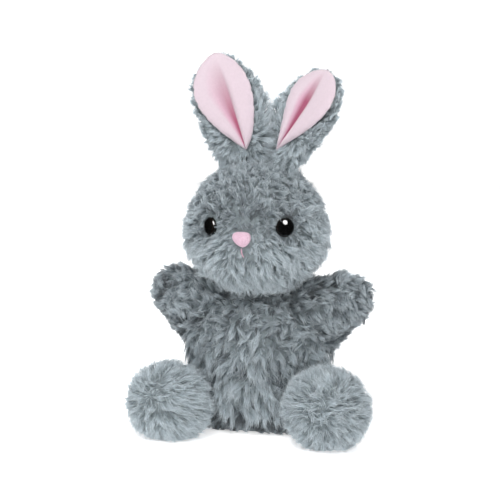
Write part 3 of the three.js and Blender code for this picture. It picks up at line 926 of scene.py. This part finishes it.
def foot_coat(side, sign, whorl):
    """Pile combed flat and away from the whorl on the sole, where it parts and stands up."""

    def flow(points):
        return unit(points - whorl) + np.array([0, 0.3, -0.1])

    def lift(points):
        return 0.24 + 0.2 * bell(distance(points, whorl), 9 * MM)

    def wander(points):
        return FOOT_WANDER[side] + 0.7 * bell(distance(points, whorl), 8 * MM)

    def pile(points):
        return (11.5 - 4.5 * bell(distance(points, whorl), 9 * MM)) * MM

    return Coat(
        flow, pile, lift, locks=2800, seed=41 + sign, wander=wander, spread=1.4 * MM, tuft=3, mottle=0.05,
        keep=outside_torso, **FOOT_PILE[side],
    )


for side, sign in SIDES.items():
    foot_centre, foot_radii = foot_ball(side, sign)
    foot_shape = orient(foot_surface(foot_centre, foot_radii))
    whorl = foot_centre + foot_radii * unit(np.array(FOOT_WHORLS[side]))
    nodes = [f"foot_{side}_upper", f"foot_{side}_sole", f"foot_{side}_stuffing"]
    skin(f"foot_{side}_skin", f"foot_{side}", foot_shape, 36, 48, nodes)
    plant(f"foot_{side}", f"foot_{side}", foot_shape, foot_coat(side, sign, whorl))


# ---- tail ----

tail_low, tail_high = extent("tail_cover")
tail_centre = np.array([0, tail_high[1] - 12 * MM, (tail_low[2] + tail_high[2]) / 2])
TAIL_RADIUS = 9 * MM


def tail_surface(u, v):
    return tail_centre + globe(u, v) * TAIL_RADIUS


def tail_flow(points):
    return unit(points - tail_centre) + [0, 0.6, -0.5]


tail_shape = orient(tail_surface)
skin("tail_skin", "torso", tail_shape, 20, 28, ["tail_cover", "tail_stuffing"])
plant("tail", "torso", tail_shape, Coat(tail_flow, 8.5 * MM, 0.9, locks=500, seed=51))


# ---- ears ----

EAR_TURNS = {"left": (0.26, 0.12, 0.10), "right": (0.44, 0.12, 0.45)}  # lean outwards, back, twist
EAR_SIZES = {"left": (73, 22), "right": (69, 21.5)}  # length and half width, in millimetres
# Share of the ear's length, then the outer and the inner edge as shares of its half width.
EAR_OUTLINES = {
    "left": [
        (-0.14, 0.58, 0.50), (0, 0.68, 0.62), (0.2, 0.89, 0.84), (0.41, 1.01, 0.97), (0.575, 1.04, 0.92),
        (0.68, 1, 0.76), (0.77, 0.84, 0.58), (0.86, 0.52, 0.30), (0.90, 0.15, 0.05),
    ],
    "right": [
        (-0.14, 0.36, 0.46), (0.04, 0.50, 0.62), (0.25, 0.93, 0.92), (0.49, 1.14, 0.95), (0.67, 0.98, 0.80),
        (0.78, 0.76, 0.54), (0.85, 0.45, 0.30), (0.875, 0.10, 0.05),
    ],
}
# The pink sheet, in millimetres: half width, foot (inwards, up), drift outwards by its tip, length.
EAR_SHEETS = {"left": (18.6, 3.5, 1.5, 6.2, 66.5), "right": (17.0, 5.3, 0.9, 8.4, 61.0)}
SHEET_FULLNESS = {"left": 1.31, "right": 1.75}  # more puts the widest part nearer the tip
SHEET_BOW = 2.4 * MM  # how far the middle of the sheet bends outwards
EAR_CUP = 11  # forward curl, per metre of width squared


def ear_frame(side):
    """The turn of an ear, and the middle of its foot."""
    lean, back, twist = EAR_TURNS[side]
    turn = Matrix.Rotation(lean * SIDES[side], 3, "Y") @ Matrix.Rotation(-back, 3, "X")
    turn = turn @ Matrix.Rotation(-twist * SIDES[side], 3, "Z")
    return np.array(turn), pivot(f"ear_{side}_flop")


def ear_place(side, x, y, z):
    """Points given in the ear's own frame."""
    turn, foot = ear_frame(side)
    return np.stack([x, y, z], axis=-1) @ turn.T + foot


def ear_back_surface(side, sign):
    """A closed pad that is wide at its foot, thin, and cupped forwards."""
    length, half_width = np.array(EAR_SIZES[side]) * MM
    shares, outer, inner = np.array(EAR_OUTLINES[side]).T

    def surface(u, v):
        around = math.tau * u
        t = 0.5 - 0.5 * np.cos(math.pi * v)
        share = shares[0] + t * (shares[-1] - shares[0])
        outside = np.cos(around) * sign > 0
        edge = np.where(outside, np.interp(share, shares, outer), np.interp(share, shares, inner))
        closing = np.sqrt(np.clip(1 - (2 * v - 1) ** 20, 0, 1))
        x = np.cos(around) * edge * half_width * closing
        thick = 2.8 * MM * closing * (1.5 - 0.5 * t)
        y = 4.4 * MM + np.sin(around) * thick - EAR_CUP * x * x
        return ear_place(side, x, y, share * length)

    return surface


def sheet_profile(side, v):
    """The share of its half width that the pink sheet has at a share of its length."""
    return np.sin(math.pi * v ** SHEET_FULLNESS[side]) ** 0.6


def ear_inner_surface(side, sign):
    """The pink sheet: two puffed lobes that meet in a deep crease, which opens and fades towards the tip."""
    half_width, inwards, rise, drift, length = np.array(EAR_SHEETS[side]) * MM

    def surface(u, v):
        profile = sheet_profile(side, np.clip(v, 0, 1))
        bow = SHEET_BOW * np.sin(math.pi * np.clip((v - 0.12) / 0.88, 0, 1))
        sewing = 0.012 * np.sin(47 * v + 2 * sign) + 0.012 * np.sin(90 * v)
        width = half_width * profile * (1 + sewing) + 0.05 * MM
        fold = np.clip(-sign * bow / width, -0.3, 0.3)
        from_fold = 2 * u - 1
        across = fold + (1 + np.where(u < 0.5, fold, -fold)) * from_fold
        x = sign * (drift * v - inwards + bow) + across * width
        slope = np.where(from_fold > 0, 7, 3.6 - 1.2 * v)
        crease = bell(from_fold * slope, 1) * (1 - smooth(v, 0.55, 0.95))
        puff = (4.6 - 1.8 * v) * MM * (1 - across**4) * np.sqrt(profile)
        y = -1.2 * MM - puff + (puff + 0.4 * MM) * 0.92 * crease - EAR_CUP * x * x
        return ear_place(side, x, y, rise + v * length)

    return surface


def ear_coat(side, sign):
    turn, foot = ear_frame(side)
    half_width, inwards, _, drift, length = np.array(EAR_SHEETS[side]) * MM

    def keep(points):
        """No pile on the front, under the pink sheet."""
        x, y, z = ((points - foot) @ turn).T
        v = np.clip(z / length, 0, 1)
        centre = sign * (drift * v - inwards + SHEET_BOW * np.sin(math.pi * v))
        front = y < 4 * MM - EAR_CUP * x**2
        return ~(front & (np.abs(x - centre) < half_width * sheet_profile(side, v) - 2.2 * MM))

    def flow(points):
        """Up the ear and out over its edges, but down at its foot, into the head's fur."""
        local = (points - foot) @ turn
        outwards = turn @ np.array([1, 0, 0]) * np.clip(local[:, :1] / (8 * MM), -1, 1)
        height = smooth(local[:, 2:], 2 * MM, 18 * MM)
        return turn @ UP * (1.3 * height - 0.8) + 0.7 * outwards

    def pile(points):
        """Longer at the foot, and longer still where it meets the other ear's pile."""
        x, _, z = ((points - foot) @ turn).T
        low = 1 - smooth(z, 0, 24 * MM)
        between = smooth(-sign * x, 8 * MM, 16 * MM) * (1 - smooth(z, 24 * MM, 38 * MM))
        return (5.5 + 2.5 * low + 6.5 * between) * MM

    def tone(points):
        return 0.7 + 0.2 * smooth(((points - foot) @ turn)[:, 2], 25 * MM, 50 * MM)

    return Coat(
        flow, pile, 0.5, locks=2200, seed=61 + sign, curl=0.4, keep=keep, wander=0.5, gather=0.5, tone=tone,
        tuft=3, pull=0.4,
    )


for side, sign in SIDES.items():
    back_shape = orient(ear_back_surface(side, sign))
    skin(f"ear_{side}_skin", f"ear_{side}", back_shape, 30, 40, [f"ear_{side}_back"])
    plant(f"ear_{side}", f"ear_{side}", back_shape, ear_coat(side, sign))
    inner = grid_object(
        f"ear_{side}_lining_sheet", ear_inner_surface(side, sign), 48, 40, round_u=False, unwrap=True,
    )
    thicken(inner, 0.8 * MM)
    dress(inner, velour_looks[side], f"ear_{side}")
    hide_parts(f"ear_{side}_inner")


# ---- eyes, nose and mouth ----


def carried_over(node, look):
    """A CAD node that shows as it is, with a finish of its own."""
    shown = frame["nodes"][node]
    shown.data.materials.clear()
    shown.data.materials.append(look)
    shown.data.shade_smooth()


EYE_RADIUS, EYE_DOME = 6.2 * MM, 3.9 * MM
EYE_OUT = 3.1 * MM  # how far the rim is out from the eye's place


def eye_surface(seat, facing):
    """A dome that carries on inwards past its rim."""
    across = unit(np.cross(UP, facing))
    over = np.cross(facing, across)

    def surface(u, v):
        around = math.tau * u
        fall = math.pi * 0.7 * v
        radius = EYE_RADIUS * np.sin(fall)
        height = EYE_DOME * np.cos(fall)
        flat = across * (radius * np.cos(around))[..., None] + over * (radius * np.sin(around))[..., None]
        return seat + flat + facing * height[..., None]

    return surface


for side in SIDES:
    outwards = (eye_centres[side] - skull_centre) / np.array([43, 39, 41.5]) ** 2
    facing = unit(unit(outwards) + EYE_TURNS[side])
    seat = eye_places[side] + facing * EYE_OUT
    eye = grid_object(f"eye_{side}_dome", orient(eye_surface(seat, facing)), 24, 40)
    dress(eye, eye_material(f"eye_plastic_{side}", seat, facing, EYE_RADIUS), "head")
    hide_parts(f"eye_{side}")
    carried_over(f"eye_{side}_washer", washer_look)


NOSE_WIDTH, NOSE_BULGE = 5.9 * MM, 3.4 * MM  # half width, and forwards
NOSE_ABOVE, NOSE_BELOW = 3.9 * MM, 5.7 * MM
NOSE_STITCH = 0.95 * MM  # width of a stitch


def nose_surface(u, v):
    """A soft rounded shield with its point down and upright stitches over it."""
    around = math.tau * u
    fall = math.pi * 0.6 * v
    upper = np.sin(around) > 0
    power = np.where(upper, 3, 1.6)
    outline = (np.abs(np.cos(around)) ** power + np.abs(np.sin(around)) ** power) ** (-1 / power)
    radius = np.sin(fall) * outline
    z = np.where(upper, NOSE_ABOVE, NOSE_BELOW) * radius * np.sin(around)
    x = NOSE_WIDTH * radius * np.cos(around) - 0.18 * np.minimum(z, 0)
    stitches = 0.12 * MM * np.cos(x * math.tau / NOSE_STITCH)
    y = -NOSE_BULGE * np.cos(fall) + 0.12 * z + stitches
    return np.stack([x, y, z], axis=-1) + nose_centre + np.array([0, 1.2 * MM, 0])


nose = grid_object("nose_pad", orient(nose_surface), 40, 96)
dress(nose, nose_look, "head")
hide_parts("nose")

mouth_low, mouth_high = extent("mouth_stitch")
THREAD_RADIUS = 0.38 * MM


def mouth_surface(u, v):
    """A stitch of two twisted strands."""
    around = math.tau * u
    height = mouth_high[2] + 0.9 * MM + 0.72 * (mouth_low[2] - mouth_high[2]) * v
    radius = THREAD_RADIUS * (1 + 0.25 * np.cos(2 * (around + 14 * v)))
    x = 0.7 * MM + radius * np.cos(around) + MM * v * v
    bulge = 1.2 * MM * np.sin(math.pi * v)
    y = mouth_low[1] + 0.8 * MM - bulge + radius * np.sin(around) + 1.8 * MM * v
    return np.stack([x, y, height], axis=-1)


mouth = grid_object("mouth_thread", orient(mouth_surface), 60, 14)
dress(mouth, pink_thread_look, "head")
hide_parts("mouth_stitch")


# ---- inside ----

LINING_BOTTOM, LINING_TOP = 9 * MM, 84 * MM
FACING_BOTTOM, FACING_TOP = 1.2 * MM, 10 * MM
LINING_CREASE = 0.35 * MM


def inside_cloth(name, node, bottom, top, inset, rows):
    """A soft tube of lining cloth that stands for a CAD node."""
    shape = outward(torso_layer(bottom, top, inset, LINING_CREASE))
    made = grid_object(name, shape, rows, 96, opening=armhole)
    thicken(made, 0.6 * MM)
    dress(made, lining_look, "torso")
    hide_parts(node)
    return made


facing = inside_cloth("hem_inner_facing", "hem_facing", FACING_BOTTOM, FACING_TOP, 1.2 * MM, 8)
lining = inside_cloth("torso_inner_lining", "torso_lining", LINING_BOTTOM, LINING_TOP, 2.6 * MM, 40)
for node in ("neck_sleeve", "head_finger_pocket", "arm_left_lining", "arm_right_lining"):
    carried_over(node, lining_look)
for node in ("neck_gathering_thread", "armhole_left_seam", "armhole_right_seam"):
    carried_over(node, thread_look)


# ---- floor, light and camera ----

FLOOR_RADIUS = 1.7
WALL_BEND = 0.8  # radius of the curve between floor and wall


def plain_material(name, level, glow):
    material, tree, shader = new_material(name, roughness=0.9, specular=0.1)
    shader.inputs["Emission Color"].default_value = (1, 1, 1, 1)
    shader.inputs["Emission Strength"].default_value = glow
    colour = grey_ramp(tree, noise(tree, 3), [(0, level), (1, level * 0.995)])
    feed(tree, shader.inputs["Base Color"], colour)
    return material


def ring(u, radius, height):
    around = math.tau * u
    return np.stack([radius * np.cos(around), radius * np.sin(around), height], axis=-1)


def floor_surface(u, v):
    return ring(u, FLOOR_RADIUS * v, 0 * v)


def wall_surface(u, v):
    """A low round wall that rises out of the floor in a curve."""
    run = v * (math.pi / 2 + 1)
    angle = np.minimum(run, math.pi / 2)
    radius = FLOOR_RADIUS + WALL_BEND * np.sin(angle)
    return ring(u, radius, WALL_BEND * (1 - np.cos(angle) + np.maximum(run - math.pi / 2, 0)))


floor = grid_object("studio_floor", floor_surface, 12, 96)
floor.data.materials.append(plain_material("white_floor", 0.95, 0.6))
wall = grid_object("studio_wall", wall_surface, 24, 96)
wall.data.materials.append(plain_material("white_wall", 0.95, 1.0))
for piece in (floor, wall):
    piece.visible_glossy = False
wall.visible_diffuse = False
wall.visible_shadow = False

world = bpy.data.worlds.new("studio")
scene.world = world
world.use_nodes = True
background = world.node_tree.nodes["Background"]
background.inputs["Color"].default_value = (1, 1, 1, 1)
background.inputs["Strength"].default_value = 0.35
world.cycles_visibility.glossy = False


def softbox(name, place, target, size, power, shine_only=False):
    light = bpy.data.lights.new(name, "AREA")
    light.shape = "ELLIPSE" if shine_only else "RECTANGLE"
    light.size, light.size_y = size
    light.energy = power
    made = linked(name, light)
    made.location = place
    made.rotation_euler = (Vector(target) - Vector(place)).to_track_quat("-Z", "Y").to_euler()
    made.visible_glossy = shine_only
    made.visible_diffuse = not shine_only
    return made


softbox("top_light", (-0.1, -0.7, 1.25), (0, 0, 0.12), (0.8, 0.7), 15.7)
softbox("fill_light", (0.6, -1.2, 0.4), (0, 0, 0.12), (0.9, 0.9), 3.5)
softbox("back_light", (-0.2, 1.1, 0.8), (0, 0, 0.13), (0.9, 0.9), 7)
softbox("catch_light", (0.52, -0.5, 0.88), (0, -0.03, 0.14), (0.7, 0.98), 42, shine_only=True)

AZIMUTH = math.radians(13)
ELEVATION = math.radians(9)
DISTANCE = 0.78
AIM = Vector((-0.0037, 0, 0.1215))
camera_data = bpy.data.cameras.new("camera")
camera_data.lens = 85
camera_data.sensor_width = 36
camera = linked("camera", camera_data)
level = math.cos(ELEVATION)
away = Vector((math.sin(AZIMUTH) * level, -math.cos(AZIMUTH) * level, math.sin(ELEVATION)))
camera.location = AIM + away * DISTANCE
camera.rotation_euler = (-away).to_track_quat("-Z", "Y").to_euler()
scene.camera = camera

scene.view_settings.view_transform = "Standard"
scene.view_settings.look = "None"
